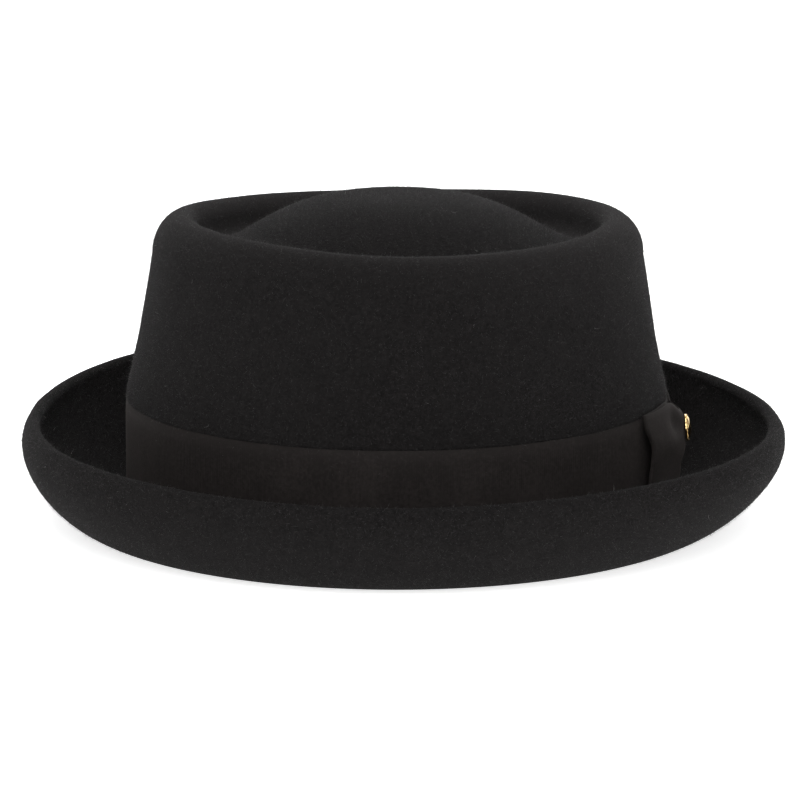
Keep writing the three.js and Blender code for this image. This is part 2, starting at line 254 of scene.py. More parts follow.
class BowSizes(bpy.types.PropertyGroup):
    """Sizes of the flat bow."""
    angle: angle("Angle", -5, "Place of the bow's middle round the crown")
    half_length: size("Half length", 40.5, "From the bow's middle to an end")
    height: size("Height", 35.4, "Height of the bow")
    stand: size("Stand", 7.0, "Crown wall to the outer face of the loops")
    pinch: size("Pinch", 0.2, "How far the pin draws the loops in")
    pinch_half_length: size("Pinch half length", 9.0, "Half the length of that dent")
    fold: size("Fold", 0.35, "Radius of the fold at the end of a loop")
    lift_power: share("Lift power", 3.0, "How late the back of a loop lifts off the band towards its end")
    cinch: share("Cinch", 0.3, "Share of the height that the gathers at the pin take up", 1.0)
    cinch_half_length: size("Cinch half length", 9.0, "Half the length of those gathers")
    cinch_height: size("Cinch height", 25.0, "Table to the line that they draw in to")
    rear_cinch_length: size("Rear cinch length", 24.0, "Length of the gathers behind the pin")
    front_flatness: share("Front flatness", 0.18, "How much closer the front loop's end lies", 1.0)
    rear_flatness: share("Rear flatness", 0.66, "How much closer the rear loop lies to the crown", 1.0)
    rear_bend: share("Rear bend", 0.45, "Share of the rear loop over which it bends in to the crown", 1.0)


class PinSizes(bpy.types.PropertyGroup):
    """Sizes of the pin."""
    radius: size("Radius", 4.3, "Radius of the plate")
    plate: size("Plate", 0.6, "Thickness of the plate")
    dome: size("Dome", 1.25, "Height of the dome above the plate")
    shoulder: size("Shoulder", 0.55, "Ring of the plate that carries the beads")
    height: size("Height", 30.7, "Table to the middle of the pin")
    tilt: angle("Tilt", 5, "How far its face looks up")
    post_radius: size("Post radius", 0.6, "Radius of the post through the ribbon")
    bead_radius: size("Bead radius", 0.2, "Radius of a bead of the rim")
    beads: count("Beads", 60, "Beads round the dome")


class NapSizes(bpy.types.PropertyGroup):
    """Fibres that stand off the felt."""
    nap_length: size("Nap length", 1.0, "Longest fibre of the short nap")
    nap_thickness: size("Nap thickness", 0.09, "Thickness of a fibre at its root")
    nap_count: count("Nap fibres", 48000, "Fibres of the short nap on the whole hat")
    fuzz_length: size("Fuzz length", 1.9, "Longest fibre of the fuzz above the nap")
    fuzz_thickness: size("Fuzz thickness", 0.06, "Thickness of such a fibre")
    fuzz_count: count("Fuzz fibres", 48000, "Fibres of the fuzz on the whole hat")
    hair_length: size("Hair length", 3.2, "Longest stray hair")
    hair_thickness: size("Hair thickness", 0.05, "Thickness of a stray hair")
    hair_count: count("Stray hairs", 1500, "Stray hairs on the whole hat")
    lint_count: count("Lint", 170, "Pale fibres caught in the felt")
    seed: count("Seed", 7, "Seed of their places")


class Finishes(bpy.types.PropertyGroup):
    """Colours of the finishes."""
    felt_dark: colour("Felt, dark", (0.0047, 0.0043, 0.0043), "Felt between its fibres")
    felt_light: colour("Felt, light", (0.0140, 0.0128, 0.0128), "Felt where its fibres catch light")
    nap: colour("Nap", (0.0150, 0.0140, 0.0140), "Fibres of the nap")
    fuzz: colour("Fuzz", (0.024, 0.0225, 0.0225), "Longer fibres, through which light comes")
    # Painted light, not dust: a paler felt colour laid round the crown's groove, where more light falls.
    groove_painted_light: colour("Dust", (0.026, 0.024, 0.024), "Dust that has settled in the groove of the crown")
    lint: colour("Lint", (0.20, 0.19, 0.185), "Pale fibres caught in the felt")
    ribbon_dark: colour("Ribbon, dark", (0.0098, 0.0084, 0.0080), "Ribbon between its threads")
    ribbon_light: colour("Ribbon, light", (0.0200, 0.0170, 0.0163), "Threads of the ribbon")
    gold: colour("Gold", (0.93, 0.68, 0.32), "Polished gold plate")
    floor: colour("Floor", (0.88, 0.88, 0.88), "Plain pale floor")


class StageSizes(bpy.types.PropertyGroup):
    """Camera and light."""
    elevation: angle("Elevation", 10.376, "Camera above the level of the table")
    distance: size("Distance", 1697.5, "Camera to the point that it looks at")
    lens: share("Lens", 237.57, "Focal length on a sensor 36 mm wide", 1000.0)
    aim: bpy.props.FloatVectorProperty(
        name="Aim", description="Point in the middle of the picture, from the middle of the head",
        default=(1.968 * MM, 0.0, 37.09 * MM), size=3, subtype="TRANSLATION", unit="LENGTH")
    sky: share("Sky", 0.31, "Strength of the even light from all round")
    glow: share("Floor glow", 0.74, "Strength of the light that the floor gives back")


GROUPS = {
    "hat_felt": FeltSizes,
    "hat_ribbon": RibbonSizes,
    "hat_bow": BowSizes,
    "hat_pin": PinSizes,
    "hat_nap": NapSizes,
    "hat_finish": Finishes,
    "hat_stage": StageSizes,
}


# Numbers between the rows of a table

def smooth(keys, values, at):
    """Values between the rows of a table, on a curve that is smooth across its rows."""
    slopes = np.gradient(values, keys)
    i = np.clip(np.searchsorted(keys, at, side="right") - 1, 0, len(keys) - 2)
    span = keys[i + 1] - keys[i]
    t = (at - keys[i]) / span
    start = (2 * t**3 - 3 * t**2 + 1) * values[i] + (t**3 - 2 * t**2 + t) * span * slopes[i]
    end = (3 * t**2 - 2 * t**3) * values[i + 1] + (t**3 - t**2) * span * slopes[i + 1]
    return start + end


def around(column, angles):
    """A smooth value round the hat from one column of the sections."""
    rows = len(SECTIONS)
    keys = np.arange(-2, rows + 3)
    values = np.array([SECTIONS[k % rows][column] for k in keys])
    return smooth(keys.astype(float), values, angles / TURN % 1.0 * rows)


def bow_level(column, height):
    """A smooth value up the bow from one column of its levels."""
    keys = np.array([row["height"] for row in BOW_LEVELS])
    return smooth(keys, np.array([row[column] for row in BOW_LEVELS]), height)


# Sections of the felt. A station holds half width, half length, height and sideways shift for each angle.

def station(angles, half_width, half_length, height, shift=0.0):
    return np.stack([np.broadcast_to(v, angles.shape) for v in (half_width, half_length, height, shift)])


def beside(felt, angles, out, height, shift=0.0):
    """That far out from the crown's straight wall."""
    return station(angles, felt.half_width + out, felt.half_length + out, height, shift)


def full_turn(sides):
    return np.linspace(0, TURN, sides, endpoint=False)


def quarter_turn(steps):
    return np.linspace(0, QUARTER, steps + 1)


def lean_at(felt, height):
    rise = np.maximum(height - felt.straight_height, 0)
    return felt.crown_lean * rise / (felt.rim_height - felt.straight_height)


def taper_at(felt, angles, height):
    top = felt.rim_height * around("rim", angles) - felt.shoulder_height
    return felt.crown_taper * np.maximum(height - felt.straight_height, 0) / (top - felt.straight_height)


def swell_at(felt, height):
    """The felt bulges just above the ribbon that is pulled tight round it."""
    above = height - band_high.z
    fade = np.exp(-(np.maximum(above, 0) / felt.swell_height)**2)
    return felt.swell * fade * np.clip(1 + above / SWELL_END, 0, 1)


def wall_station(felt, angles, height):
    out = swell_at(felt, height) - taper_at(felt, angles, height)
    return beside(felt, angles, out, height, lean_at(felt, height))


def dome_stations(felt, angles, rings):
    """From the top of the dome to the bottom of the groove."""
    bottom = felt.rim_height * around("rim", angles) - felt.moat_depth
    top = felt.rim_height + felt.dome_rise
    found = []
    for q in np.linspace(0, 1, rings + 1):
        rise = (1 - q**felt.dome_fullness)**felt.dome_foot
        shift = lean_at(felt, felt.rim_height) - felt.dome_shift * (1 - q)
        height = bottom + (top - bottom) * rise
        found.append(station(angles, felt.moat_half_width * q, felt.moat_half_length * q, height, shift))
    return found


def rim_stations(felt, angles, rings):
    """Out of the groove, over the rim and down to the top of the wall."""
    rim = felt.rim_height * around("rim", angles)
    ridge = felt.crown_taper + felt.shoulder_width
    quarter = quarter_turn(rings)[1:]
    found = []

    def between(out, height):
        """A share of the way from the groove out to the ridge."""
        width = felt.moat_half_width + (felt.half_width - ridge - felt.moat_half_width) * out
        length = felt.moat_half_length + (felt.half_length - ridge - felt.moat_half_length) * out
        found.append(station(angles, width, length, height, lean_at(felt, height)))

    for a in quarter:
        steep = felt.moat_depth - felt.roll_drop
        between((1 - felt.roll_share) * math.sin(a), rim - felt.moat_depth + steep * (1 - math.cos(a)))
    for a in quarter:
        between(1 - felt.roll_share * math.cos(a), rim - felt.roll_drop * (1 - math.sin(a)))
    for a in quarter:
        out = felt.shoulder_width * math.sin(a) - ridge
        height = rim - felt.shoulder_height * (1 - math.cos(a))
        found.append(beside(felt, angles, out, height, lean_at(felt, height)))
    return found


def wall_stations(felt, angles, rings):
    """The wall from under the shoulder down to just above the ribbon."""
    top = felt.rim_height * around("rim", angles) - felt.shoulder_height
    low = band_high.z + SWELL_REACH
    return [wall_station(felt, angles, top + (low - top) * t) for t in np.linspace(0, 1, rings + 1)[1:]]


def foot_stations(felt, angles, rings):
    """Under the swell and behind the ribbon, down to the soft corner with the brim."""
    start = felt.brim_felt + felt.break_fillet
    edge = np.linspace(band_high.z + SWELL_REACH, band_high.z - SWELL_REACH / 2, SWELL_RINGS + 1)[1:]
    below = np.linspace(edge[-1], start, rings + 1)[1:-1]
    return [wall_station(felt, angles, h) for h in np.concatenate([edge, below])]


def crown_stations(felt, angles, fineness=1.0):
    rings = [max(4, round(n * fineness)) for n in (DOME_RINGS, RIM_RINGS, WALL_RINGS)]
    return [
        *dome_stations(felt, angles, rings[0]),
        *rim_stations(felt, angles, rings[1]),
        *wall_stations(felt, angles, rings[2]),
    ]


def moved_in(stations, angles, thickness):
    """The same section moved in by the thickness of the felt, square to its own line."""
    s = np.stack(stations)
    flat = np.hypot(s[:, 0] * np.cos(angles), s[:, 1] * np.sin(angles))
    line = np.stack([flat, s[:, 2]])
    way = np.empty_like(line)
    way[:, 1:-1] = line[:, 2:] - line[:, :-2]
    way[:, 0] = line[:, 1] - line[:, 0]
    way[:, -1] = line[:, -1] - line[:, -2]
    way /= np.maximum(np.linalg.norm(way, axis=0), 1e-9)
    out = -way[1] * thickness
    up = way[0] * thickness
    out[0] = 0.0
    up[0] = thickness
    moved = s.copy()
    moved[:, 0] -= out
    moved[:, 1] -= out
    moved[:, 2] -= up
    return list(moved)


def bezier(points, t):
    a, b, c, d = points
    at = (1 - t)**3 * a + 3 * (1 - t)**2 * t * b + 3 * (1 - t) * t**2 * c + t**3 * d
    way = 3 * (1 - t)**2 * (b - a) + 6 * (1 - t) * t * (c - b) + 3 * t**2 * (d - c)
    return at, way / np.linalg.norm(way, axis=0)


def brim_stations(felt, angles, rings):
    """Out along the top of the brim, round its edge and back along its under side to the inner face."""
    reach = felt.brim_reach * around("reach", angles)
    lip = felt.lip_height * around("lip", angles)
    turn = felt.lip_turn * around("turn", angles)
    pull = felt.edge_pull * around("pull", angles)
    level = np.zeros_like(angles)
    points = (
        np.stack([level + felt.land_end, level]),
        np.stack([level + felt.land_end + felt.floor_pull, level]),
        np.stack([reach - pull * np.cos(turn), lip - pull * np.sin(turn)]),
        np.stack([reach, lip]),
    )
    curve = [bezier(points, t) for t in np.linspace(0, 1, rings + 1)]
    corner = quarter_turn(CORNER_RINGS)
    found = []
    for a in corner:
        found.append(beside(felt, angles, felt.break_fillet * (1 - math.cos(a)),
                            felt.brim_felt + felt.break_fillet * (1 - math.sin(a))))

    def over(at, way, thickness):
        return beside(felt, angles, at[0] - way[1] * thickness, at[1] + way[0] * thickness)

    swollen = felt.brim_felt * (1 + felt.lip_swell * np.linspace(0, 1, rings + 1)**4)
    for (at, way), thickness in zip(curve, swollen):
        found.append(over(at, way, thickness))
    at, way = curve[-1]
    half = swollen[-1] / 2
    for a in np.linspace(0, HALF_TURN, EDGE_RINGS + 1)[1:-1]:
        found.append(over(at + way * half * math.sin(a), way, half * (1 + math.cos(a))))
    for at, way in reversed(curve):
        found.append(beside(felt, angles, at[0], at[1]))
    radius = felt.land_start + felt.crown_felt
    for a in corner:
        found.append(beside(felt, angles, felt.land_start - radius * math.sin(a), radius * (1 - math.cos(a))))
    return found


def points_of(stations, angles):
    """The stations as rings of points in the frame."""
    s = np.stack(stations)
    x = s[:, 0] * np.cos(angles) + s[:, 3] + HEAD_MIDDLE.x
    y = s[:, 1] * np.sin(angles) + HEAD_MIDDLE.y
    return np.stack([x, y, s[:, 2]], axis=2)


# Meshes

def skin(name, rings, looped):
    """A closed mesh over rings of points. Looped rings close on each other, and others end in two poles."""
    rings = np.asarray(rings, float)
    rows, columns, _ = rings.shape
    if looped:
        points = rings.reshape(-1, 3)
        row = np.arange(rows)
        row_pairs = np.stack([row, (row + 1) % rows], axis=1)
        first = 0
    else:
        points = np.concatenate([rings[:1, 0], rings[1:-1].reshape(-1, 3), rings[-1:, 0]])
        row = np.arange(rows - 3)
        row_pairs = np.stack([row, row + 1], axis=1)
        first = 1
    column = np.arange(columns)
    after = (column + 1) % columns
    faces = []
    for low, high in row_pairs:
        a, b = first + low * columns, first + high * columns
        faces.append(np.stack([a + column, b + column, b + after, a + after], axis=1))
    faces = np.concatenate(faces).tolist()
    if not looped:
        last = len(points) - 1
        foot = first + (rows - 3) * columns
        faces += [[0, first + k, first + (k + 1) % columns] for k in range(columns)]
        faces += [[last, foot + (k + 1) % columns, foot + k] for k in range(columns)]
    mesh = plain_mesh(name, points.tolist(), faces)
    point_out(mesh)
    shade_smooth(mesh)
    return mesh


def plain_mesh(name, points, faces):
    mesh = bpy.data.meshes.new(name)
    mesh.from_pydata(points, [], faces)
    mesh.update()
    return mesh


def shade_smooth(mesh):
    mesh.polygons.foreach_set("use_smooth", [True] * len(mesh.polygons))


def point_out(mesh):
    """Turns a closed mesh so that its faces point outwards."""
    mesh.calc_loop_triangles()
    points = np.zeros(len(mesh.vertices) * 3)
    mesh.vertices.foreach_get("co", points)
    corners = np.zeros(len(mesh.loop_triangles) * 3, np.int32)
    mesh.loop_triangles.foreach_get("vertices", corners)
    a, b, c = points.reshape(-1, 3)[corners.reshape(-1, 3)].transpose(1, 0, 2)
    if (a * np.cross(b, c)).sum() < 0:
        mesh.flip_normals()


def shown(name, mesh, material=None):
    """An object in the scene at the origin."""
    thing = bpy.data.objects.new(name, mesh)
    bpy.context.scene.collection.objects.link(thing)
    if material:
        mesh.materials.clear()
        mesh.materials.append(material)
    return thing


def finished(thing, slot, *nodes):
    """The piece rides on the hat's one body, and the frame's solids that it replaces are hidden. The slot is
    not used.
    """
    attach(thing, BODY)
    if nodes:
        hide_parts(*nodes)
    return thing


def point_values(mesh, name, values):
    attribute = mesh.attributes.new(name, "FLOAT", "POINT")
    attribute.data.foreach_set("value", np.ascontiguousarray(values, np.float32).ravel())


# Node trees

class Value:
    """A socket of a node tree. An expression on it adds Math nodes."""

    def __init__(self, nodes, socket):
        self.nodes = nodes
        self.socket = socket

    def worked_out(self, operation, first, second):
        return self.nodes.add(self.nodes.math, {"operation": operation}, {0: first, 1: second}).out(0)

    def __add__(self, other):
        return self.worked_out("ADD", self, other)

    def __radd__(self, other):
        return self.worked_out("ADD", other, self)

    def __sub__(self, other):
        return self.worked_out("SUBTRACT", self, other)

    def __rsub__(self, other):
        return self.worked_out("SUBTRACT", other, self)

    def __mul__(self, other):
        return self.worked_out("MULTIPLY", self, other)

    def __rmul__(self, other):
        return self.worked_out("MULTIPLY", other, self)

    def __truediv__(self, other):
        return self.worked_out("DIVIDE", self, other)


class Node:
    """A node of a tree, with its outputs by name or number."""

    def __init__(self, nodes, node):
        self.nodes = nodes
        self.node = node

    def out(self, key):
        return Value(self.nodes, self.node.outputs[key])


class Nodes:
    """Adds nodes to a tree by their type, settings and the values or links of their sockets."""

    math = "ShaderNodeMath"

    def __init__(self, tree):
        self.tree = tree
        self.steps = 0

    def add(self, kind, settings=None, inputs=None):
        node = self.tree.nodes.new(kind)
        self.steps += 1
        node.location = (self.steps * NODE_SPACING, 0)
        for key, value in (settings or {}).items():
            setattr(node, key, value)
        for key, value in (inputs or {}).items():
            if isinstance(value, Value):
                self.tree.links.new(value.socket, node.inputs[key])
            else:
                node.inputs[key].default_value = value
        return Node(self, node)

    def cosine(self, value):
        return self.add(self.math, {"operation": "COSINE"}, {0: value}).out(0)

    def noise(self, place, width, detail=2.0, roughness=0.5, curl=0.0):
        """Noise whose spots are about that wide, in metres."""
        return self.add("ShaderNodeTexNoise", {}, {
            "Vector": place, "Scale": 1 / width, "Detail": detail, "Roughness": roughness,
            "Distortion": curl}).out(0)

    def strands(self, noise, width=0.05):
        """Thin curled lines along the middle value of a noise."""
        off = self.add(self.math, {"operation": "ABSOLUTE"}, {0: noise - 0.5}).out(0)
        return 1 - self.spread(off, 0.0, width)

    def spread(self, value, low, high):
        """The value with low made 0 and high made 1."""
        return self.add("ShaderNodeMapRange", {"clamp": True}, {0: value, 1: low, 2: high}).out(0)

    def mixed(self, factor, first, second):
        """One colour turning into another."""
        return self.add("ShaderNodeMix", {"data_type": "RGBA"}, {0: factor, 6: first, 7: second}).out(2)


def new_material(name):
    """A material with a bare Principled shader, and the maker of its nodes."""
    material = bpy.data.materials.new(name)
    material.use_nodes = True
    tree = material.node_tree
    tree.nodes.clear()
    nodes = Nodes(tree)
    shader = nodes.add("ShaderNodeBsdfPrincipled")
    output = nodes.add("ShaderNodeOutputMaterial")
    tree.links.new(shader.node.outputs[0], output.node.inputs[0])
    return material, nodes, shader.node


def set_inputs(nodes, shader, **inputs):
    for key, value in inputs.items():
        socket = shader.inputs[key.replace("_", " ")]
        if isinstance(value, Value):
            nodes.tree.links.new(value.socket, socket)
        else:
            socket.default_value = value


def opaque(rgb, share=1.0):
    """The colour with no see-through, made darker or paler by that share."""
    return (*(c * share for c in rgb), 1.0)


def object_place(nodes, stretch=(1.0, 1.0, 1.0)):
    """Object coordinates, stretched along the axes."""
    place = nodes.add("ShaderNodeTexCoord").out("Object")
    return nodes.add("ShaderNodeMapping", {}, {"Vector": place, "Scale": stretch}).out(0)


def bumped(nodes, height, depth):
    return nodes.add("ShaderNodeBump", {}, {"Height": height, "Strength": 1.0, "Distance": depth}).out(0)


def felt_material(finish, felt):
    """Brushed wool felt: a tangle of curled fibres over soft tufts, with painted light that makes it paler
    round the crown's groove.
    """
    material, nodes, shader = new_material("black_wool_felt")
    place = object_place(nodes)
    curls = nodes.strands(nodes.noise(place, 2.6 * MM, 3.0, 0.55, 1.5))
    fine = nodes.strands(nodes.noise(place, 1.5 * MM, 3.0, 0.6, 2.5))
    grain = nodes.noise(place, 1.0 * MM, 2.0, 0.6)
    tufts = nodes.noise(place, 3.2 * MM, 3.0, 0.6)
    mottle = nodes.noise(place, 11.0 * MM, 2.0, 0.5)
    tangle = curls * 0.28 + fine * 0.34 + nodes.spread(grain, 0.3, 0.7) * 0.38
    light = nodes.spread(tangle * 0.7 + tufts * 0.2 + mottle * 0.1, 0.2, 0.66)
    # Painted light: a mask over the crown's groove, where the felt colour is made paler as if more light fell
    # there.
    across = object_place(nodes, (1 / felt.moat_half_width, 1 / felt.moat_half_length, 0.0))
    oval = nodes.add("ShaderNodeVectorMath", {"operation": "LENGTH"}, {0: across}).out("Value")
    groove_painted_light_mask = nodes.spread(oval, 0.78, 0.95) * (1 - nodes.spread(oval, 1.1, 1.32))
    felt_tone = nodes.mixed(light, opaque(finish.felt_dark), opaque(finish.felt_light))
    set_inputs(
        nodes, shader,
        Base_Color=nodes.mixed(groove_painted_light_mask * 0.6, felt_tone, opaque(finish.groove_painted_light)),
        Roughness=0.86 + tufts * 0.12,
        Normal=bumped(nodes, tangle, 0.3 * MM),
        Sheen_Weight=0.02,
        Sheen_Roughness=0.3,
        Sheen_Tint=(1.0, 0.96, 0.96, 1.0),
        Specular_IOR_Level=0.05,
    )
    return material


def nap_material(name, rgb):
    """Wool fibres, some of them paler than others."""
    material, nodes, shader = new_material(name)
    tone = nodes.spread(nodes.noise(object_place(nodes), 1.6 * MM, 2.0), 0.3, 0.7)
    light = nodes.mixed(tone * tone, opaque(rgb, 0.5), opaque(rgb, 2.4))
    set_inputs(nodes, shader, Base_Color=light, Roughness=0.5, Specular_IOR_Level=0.5, Sheen_Weight=0.1)
    return material


def ribbon_material(finish, ribbon):
    """Grosgrain: upright threads of slightly different tone, with painted shade that makes it a little darker
    towards its top.
    """
    material, nodes, shader = new_material("black_grosgrain")
    threads = nodes.noise(object_place(nodes, (1.0, 1.0, 0.03)), 0.8 * MM, 2.0)
    grain = nodes.noise(object_place(nodes), 1.1 * MM, 3.0, 0.6)
    warp = nodes.noise(object_place(nodes, (0.15, 0.15, 1.0)), 0.35 * MM, 2.0)
    broad = nodes.noise(object_place(nodes), 12.0 * MM, 2.0)
    # Painted shade: the colour is made darker over the ribbon's upper half.
    height = nodes.add("ShaderNodeSeparateXYZ", {}, {0: object_place(nodes)}).out("Z")
    ribbon_top_painted_shade = nodes.spread(height, band_low.z + ribbon.width / 2, band_low.z + ribbon.width)
    light = nodes.spread(threads * 0.12 + grain * 0.6 + broad * 0.28 - ribbon_top_painted_shade * 0.16, 0.34, 0.66)
    set_inputs(
        nodes, shader,
        Base_Color=nodes.mixed(light, opaque(finish.ribbon_dark), opaque(finish.ribbon_light)),
        Roughness=0.78 + warp * 0.2,
        Normal=bumped(nodes, warp * 0.5 + grain * 0.5, 0.05 * MM),
        Sheen_Weight=0.035,
        Sheen_Roughness=0.45,
        Sheen_Tint=(1.0, 0.88, 0.84, 1.0),
        Specular_IOR_Level=0.08,
    )
    return material


def gold_material(finish):
    """Polished plate with faint wear."""
    material, nodes, shader = new_material("gold_plate")
    wear = nodes.noise(object_place(nodes), 1.2 * MM, 4.0, 0.6)
    set_inputs(
        nodes, shader,
        Base_Color=nodes.mixed(wear, opaque(finish.gold), opaque(finish.gold, 0.82)),
        Metallic=1.0,
        Roughness=0.1 + wear * 0.14,
        Normal=bumped(nodes, wear, 0.01 * MM),
    )
    return material


def floor_material(finish, glow):
    material, nodes, shader = new_material("pale_floor")
    grain = nodes.noise(object_place(nodes), 40 * MM, 2.0)
    light = nodes.mixed(grain, opaque(finish.floor), opaque(finish.floor, 0.985))
    set_inputs(
        nodes, shader,
        Base_Color=light,
        Roughness=0.9,
        Specular_IOR_Level=0.1,
        Emission_Color=(1.0, 1.0, 1.0, 1.0),
        Emission_Strength=glow,
    )
    return material


# Geometry Nodes

class GeometryTree(Nodes):
    """A node group for a Geometry Nodes modifier, with named inputs."""

    def __init__(self, name):
        super().__init__(bpy.data.node_groups.new(name, "GeometryNodeTree"))
        self.interface = self.tree.interface
        self.interface.new_socket("Geometry", in_out="INPUT", socket_type="NodeSocketGeometry")
        self.interface.new_socket("Geometry", in_out="OUTPUT", socket_type="NodeSocketGeometry")

    def inputs(self, **kinds):
        """Adds an input for each name and gives back all of them as values."""
        for name, kind in kinds.items():
            self.interface.new_socket(name, in_out="INPUT", socket_type="NodeSocket" + kind)
        made = self.add("NodeGroupInput")
        return [made.out(key) for key in ["Geometry", *kinds]]

    def ends_in(self, geometry, material):
        real = self.add("GeometryNodeRealizeInstances", {}, {"Geometry": geometry}).out(0)
        named = self.add("GeometryNodeSetMaterial", {}, {"Geometry": real, "Material": material}).out(0)
        self.add("NodeGroupOutput", {}, {"Geometry": named})


def ribs_tree():
    """Raises the ribs of grosgrain across a ribbon, from the distance that its points hold as run."""
    tree = GeometryTree("grosgrain_ribs")
    geometry, pitch, height, material = tree.inputs(Pitch="Float", Height="Float", Material="Material")
    run = tree.add("GeometryNodeInputNamedAttribute", {"data_type": "FLOAT"}, {"Name": "run"}).out(0)
    face = tree.add("GeometryNodeInputNamedAttribute", {"data_type": "FLOAT"}, {"Name": "face"}).out(0)
    rise = (1 - tree.cosine(run / pitch * TURN)) * 0.5 * face * height
    normal = tree.add("GeometryNodeInputNormal").out(0)
    offset = tree.add("ShaderNodeVectorMath", {"operation": "SCALE"}, {0: normal, "Scale": rise}).out(0)
    raised = tree.add("GeometryNodeSetPosition", {}, {"Geometry": geometry, "Offset": offset}).out(0)
    tree.ends_in(raised, material)
    return tree.tree


def fibres_tree():
    """Strews fibres over a surface where its nap value is 1, each leaning its own way."""
    tree = GeometryTree("fibres_on_felt")
    geometry, fibre, per_area, shortest, most_lean, seed, material = tree.inputs(
        Fibre="Object", Density="Float", Shortest="Float", Lean="Float", Seed="Int", Material="Material")
    where = tree.add("GeometryNodeInputNamedAttribute", {"data_type": "FLOAT"}, {"Name": "nap"}).out(0)
    strewn = tree.add("GeometryNodeDistributePointsOnFaces", {"distribute_method": "RANDOM"}, {
        "Mesh": geometry, "Density": per_area * where, "Seed": seed})
    shape = tree.add("GeometryNodeObjectInfo", {"transform_space": "ORIGINAL"}, {"Object": fibre})

    def drawn(low, high, offset):
        return tree.add("FunctionNodeRandomValue", {"data_type": "FLOAT"}, {
            2: low, 3: high, "Seed": seed + offset}).out(1)

    turn = tree.add("ShaderNodeCombineXYZ", {}, {2: drawn(0.0, TURN, 1)}).out(0)
    lean = tree.add("ShaderNodeCombineXYZ", {}, {0: drawn(most_lean * LEAST_LEAN, most_lean, 2)}).out(0)
    turned = tree.add("FunctionNodeRotateRotation", {"rotation_space": "LOCAL"}, {
        0: strewn.out("Rotation"), 1: tree.add("FunctionNodeEulerToRotation", {}, {0: turn}).out(0)}).out(0)
    leant = tree.add("FunctionNodeRotateRotation", {"rotation_space": "LOCAL"}, {
        0: turned, 1: tree.add("FunctionNodeEulerToRotation", {}, {0: lean}).out(0)}).out(0)
    placed = tree.add("GeometryNodeInstanceOnPoints", {}, {
        "Points": strewn.out("Points"), "Instance": shape.out("Geometry"), "Rotation": leant,
        "Scale": drawn(shortest, 1.0, 3)}).out(0)
    tree.ends_in(placed, material)
    return tree.tree


def beads_tree():
    """A ring of beads round the Z axis."""
    tree = GeometryTree("ring_of_beads")
    _, ring, bead, beads, material = tree.inputs(
        Ring="Float", Bead="Float", Beads="Int", Material="Material")
    places = tree.add("GeometryNodeMeshCircle", {}, {"Vertices": beads, "Radius": ring}).out(0)
    ball = tree.add("GeometryNodeMeshUVSphere", {}, {
        "Segments": BEAD_SIDES, "Rings": BEAD_RINGS, "Radius": bead}).out(0)
    placed = tree.add("GeometryNodeInstanceOnPoints", {}, {"Points": places, "Instance": ball}).out(0)
    smoothed = tree.add("GeometryNodeRealizeInstances", {}, {"Geometry": placed}).out(0)
    tree.ends_in(tree.add("GeometryNodeSetShadeSmooth", {}, {"Geometry": smoothed}).out(0), material)
    return tree.tree


def grown(name, mesh, tree, **inputs):
    """The plain mesh that a Geometry Nodes tree makes from a mesh."""
    source = shown(name + "_source", mesh)
    modifier = source.modifiers.new("nodes", "NODES")
    modifier.node_group = tree
    identifiers = {item.name: item.identifier for item in tree.interface.items_tree if item.in_out == "INPUT"}
    for key, value in inputs.items():
        modifier[identifiers[key]] = value
    depsgraph = bpy.context.evaluated_depsgraph_get()
    made = bpy.data.meshes.new_from_object(source.evaluated_get(depsgraph), depsgraph=depsgraph)
    made.name = name
    source.modifiers.remove(modifier)
    bpy.data.objects.remove(source)
    return made


# Pieces

def felt_mesh(felt):
    """Crown and brim in one closed shell, with a soft unevenness, and a value that says where nap grows."""
    angles = full_turn(FELT_SIDES)
    outer = crown_stations(felt, angles) + foot_stations(felt, angles, FOOT_RINGS)
    brim = brim_stations(felt, angles, BRIM_RINGS)
    inner = moved_in(crown_stations(felt, angles, INNER_SHARE), angles, felt.crown_felt)[::-1]
    rings = points_of([*outer, *brim, *inner], angles)
    mesh = skin("felt_shell", rings, looped=False)
    outside = len(outer) + len(brim) - CORNER_RINGS
    nap = np.zeros(rings.shape[:2])
    nap[:outside] = 1.0
    height = rings[:, :, 2]
    nap[height < NAP_CLEAR] = 0.0
    nap[:len(outer)][height[:len(outer)] < band_high.z - NAP_UNDER_RIBBON] = 0.0
    point_values(mesh, "nap", np.concatenate([nap[:1, 0], nap[1:-1].ravel(), nap[-1:, 0]]))
    make_uneven(mesh, felt)
    return mesh


def make_uneven(mesh, felt):
    """Moves the points in and out by a smooth noise, least where the hat rests."""
    for vertex in mesh.vertices:
        place = vertex.co / felt.unevenness_size
        settled = min(1.0, vertex.co.z / SETTLED_HEIGHT)
        stray = noise.noise(place) + FINER_SHARE * noise.noise(place * FINER_NOISE)
        away = Vector((vertex.co.x, vertex.co.y, 0.0)).normalized()
        vertex.co += away * (stray * felt.unevenness * settled)
    mesh.update()


def spike_mesh(length, thickness):
    """A closed three-sided spike from the origin up, with four faces."""
    corners = [(math.cos(a) * thickness / 2, math.sin(a) * thickness / 2, 0) for a in THREE_CORNERS]
    mesh = plain_mesh("spike", [*corners, (0, 0, length)], [(0, 2, 1), (0, 1, 3), (1, 2, 3), (2, 0, 3)])
    point_out(mesh)
    return mesh


def hair_mesh(length, thickness, bend=0.9, joints=5):
    """A closed three-sided hair from the origin up, bent over by that many radians and thinner to its tip."""
    rings = []
    for t in np.linspace(0, 1, joints + 1):
        radius = thickness / 2 * (1 - 0.75 * t)
        centre = (0.0, length * (1 - math.cos(bend * t)) / bend, length * math.sin(bend * t) / bend)
        rings.append([(centre[0] + radius * math.cos(a), centre[1] + radius * math.sin(a), centre[2])
                      for a in THREE_CORNERS])
    first, last = np.mean(rings[0], axis=0), np.mean(rings[-1], axis=0)
    return skin("hair", [[first] * 3, *rings, [last] * 3], looped=False)


